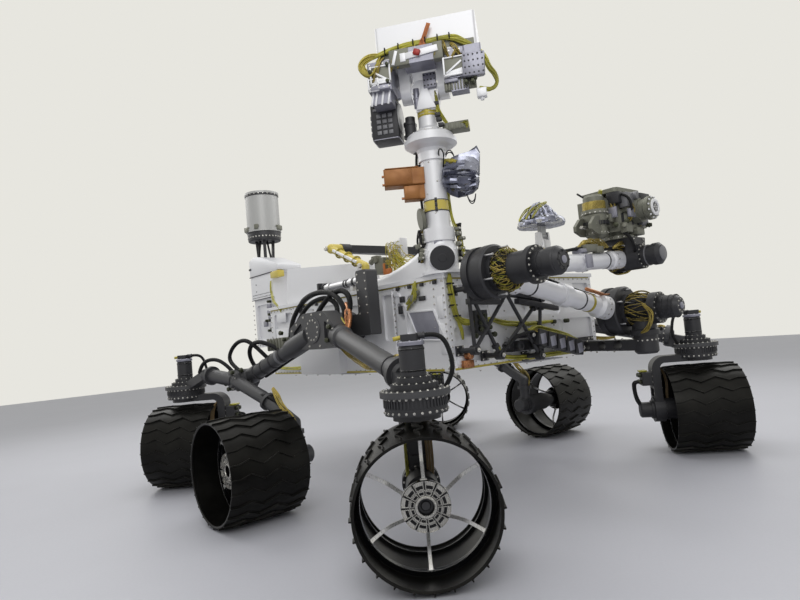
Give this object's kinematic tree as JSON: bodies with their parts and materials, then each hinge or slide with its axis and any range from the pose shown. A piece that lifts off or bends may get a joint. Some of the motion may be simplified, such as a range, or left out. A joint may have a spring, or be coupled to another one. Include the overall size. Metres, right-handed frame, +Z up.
{
  "type": "mars rover",
  "caption": "Six-wheel rocker-bogie planetary rover with a camera mast, folded sampling arm, deck antennas and a finned rear power unit.",
  "frame": {"origin": "on the floor under the middle of the rover's outline", "axes": "+X forward, +Y to the rover's left (port), +Z up"},
  "size_m": [3.0892, 2.892, 2.262],
  "materials": {
    "white_paint": "satin white paint",
    "black_anodised": "matt black anodised",
    "dark_titanium": "dark coated tube",
    "wheel_metal": "black anodised aluminium",
    "bare_aluminium": "machined",
    "silver_paint": "grey silver",
    "graphite_paint": "dark grey",
    "olive_metal": "hard anodised",
    "amber_film": "amber tape"
  },
  "bodies": {
    "rover_body": {"arm_mount": "black_anodised", "bogie_left": "dark_titanium", "bogie_right": "dark_titanium", "chassis_body": "white_paint", "conduit_left": "black_anodised", "conduit_right": "black_anodised", "deck_case": "white_paint", "deck_rail": "bare_aluminium", "differential_bar": "black_anodised", "differential_links": "amber_film", "dish_base": "bare_aluminium", "hazard_cameras_front": "black_anodised", "hazard_cameras_rear": "black_anodised", "heat_exchangers": "white_paint", "low_gain_antenna": "white_paint", "mast_base": "white_paint", "mast_tube": "white_paint", "power_unit": "graphite_paint", "power_unit_frame": "black_anodised", "relay_antenna": "silver_paint", "relay_antenna_stand": "white_paint", "relay_antenna_tripod": "black_anodised", "rocker_left": "dark_titanium", "rocker_right": "dark_titanium", "sample_inlets": "bare_aluminium", "sensor_boom_front": "silver_paint", "sensor_boom_rear": "amber_film", "steering_motors": "black_anodised", "stow_frame": "black_anodised", "top_deck": "white_paint"},
    "wheel_front_right": {"wheel_front_right": "wheel_metal"},
    "wheel_front_left": {"wheel_front_left": "wheel_metal"},
    "wheel_mid_right": {"wheel_mid_right": "wheel_metal"},
    "wheel_mid_left": {"wheel_mid_left": "wheel_metal"},
    "wheel_rear_right": {"wheel_rear_right": "wheel_metal"},
    "wheel_rear_left": {"wheel_rear_left": "wheel_metal"},
    "steer_front_right": {"knuckle_front_right": "dark_titanium"},
    "steer_front_left": {"knuckle_front_left": "dark_titanium"},
    "steer_rear_right": {"knuckle_rear_right": "dark_titanium"},
    "steer_rear_left": {"knuckle_rear_left": "dark_titanium"},
    "mast_pan": {"pan_yoke": "white_paint", "pan_actuator": "black_anodised"},
    "mast_head": {"camera_head": "white_paint", "head_instruments": "bare_aluminium"},
    "arm_base": {"arm_shoulder": "black_anodised"},
    "arm_upper": {"upper_arm": "white_paint", "upper_arm_drums": "black_anodised"},
    "arm_fore": {"forearm": "white_paint", "forearm_drums": "black_anodised"},
    "arm_wrist": {"wrist": "black_anodised"},
    "arm_turret": {"turret": "olive_metal"},
    "dish_turn": {"dish_gimbal": "bare_aluminium"},
    "dish_tilt": {"dish_panel": "silver_paint"}
  },
  "joints": [
    {"name": "steering_front_right", "type": "hinge", "parent": "rover_body", "child": "steer_front_right", "pos_m": [1.2271, -1.12, 0.575], "axis": [0, 0, 1], "range_deg": [-146, 44]},
    {"name": "wheel_roll_front_right", "type": "hinge", "parent": "steer_front_right", "child": "wheel_front_right", "pos_m": [1.2271, -1.12, 0.2575], "axis": [-0.7771, 0.6293, 0], "continuous": true},
    {"name": "steering_front_left", "type": "hinge", "parent": "rover_body", "child": "steer_front_left", "pos_m": [1.2271, 1.12, 0.575], "axis": [0, 0, 1], "range_deg": [-44, 146]},
    {"name": "wheel_roll_front_left", "type": "hinge", "parent": "steer_front_left", "child": "wheel_front_left", "pos_m": [1.2271, 1.12, 0.2575], "axis": [0.7771, 0.6293, 0], "continuous": true},
    {"name": "steering_rear_right", "type": "hinge", "parent": "rover_body", "child": "steer_rear_right", "pos_m": [-1.0329, -1.12, 0.575], "axis": [0, 0, 1], "range_deg": [-51, 139]},
    {"name": "wheel_roll_rear_right", "type": "hinge", "parent": "steer_rear_right", "child": "wheel_rear_right", "pos_m": [-1.0329, -1.12, 0.2575], "axis": [0.6947, 0.7193, 0], "continuous": true},
    {"name": "steering_rear_left", "type": "hinge", "parent": "rover_body", "child": "steer_rear_left", "pos_m": [-1.0329, 1.12, 0.575], "axis": [0, 0, 1], "range_deg": [-139, 51]},
    {"name": "wheel_roll_rear_left", "type": "hinge", "parent": "steer_rear_left", "child": "wheel_rear_left", "pos_m": [-1.0329, 1.12, 0.2575], "axis": [-0.6947, 0.7193, 0], "continuous": true},
    {"name": "wheel_roll_mid_right", "type": "hinge", "parent": "rover_body", "child": "wheel_mid_right", "pos_m": [0.0471, -1.22, 0.2575], "axis": [0, 1, 0], "continuous": true},
    {"name": "wheel_roll_mid_left", "type": "hinge", "parent": "rover_body", "child": "wheel_mid_left", "pos_m": [0.0471, 1.22, 0.2575], "axis": [0, 1, 0], "continuous": true},
    {"name": "mast_pan", "type": "hinge", "parent": "rover_body", "child": "mast_pan", "pos_m": [0.8511, -0.559, 1.738], "axis": [0, 0, 1], "range_deg": [-181, 181]},
    {"name": "head_tilt", "type": "hinge", "parent": "mast_pan", "child": "mast_head", "pos_m": [0.8511, -0.559, 1.985], "axis": [0.7891, 0.6143, 0], "range_deg": [-87, 91]},
    {"name": "arm_turn", "type": "hinge", "parent": "rover_body", "child": "arm_base", "pos_m": [1.2871, 0.43, 0.725], "axis": [0, 0, 1], "range_deg": [0, 150]},
    {"name": "arm_lift", "type": "hinge", "parent": "arm_base", "child": "arm_upper", "pos_m": [1.2071, 0.43, 0.86], "axis": [-1, 0, 0], "range_deg": [0, 60]},
    {"name": "arm_elbow", "type": "hinge", "parent": "arm_upper", "child": "arm_fore", "pos_m": [1.2071, -0.58, 1.065], "axis": [1, 0, 0], "range_deg": [0, 165]},
    {"name": "arm_wrist", "type": "hinge", "parent": "arm_fore", "child": "arm_wrist", "pos_m": [1.3761, 0.22, 1.11], "axis": [-1, 0, 0], "range_deg": [0, 90]},
    {"name": "turret_turn", "type": "hinge", "parent": "arm_wrist", "child": "arm_turret", "pos_m": [1.3171, 0.22, 1.205], "axis": [0, 0, 1], "range_deg": [-175, 175]},
    {"name": "dish_turn", "type": "hinge", "parent": "rover_body", "child": "dish_turn", "pos_m": [0.6671, 0.5, 1.24], "axis": [0, 0, 1], "range_deg": [-175, 175]},
    {"name": "dish_tilt", "type": "hinge", "parent": "dish_turn", "child": "dish_tilt", "pos_m": [0.6671, 0.5, 1.365], "axis": [0, 1, 0], "range_deg": [0, 90]}
  ]
}
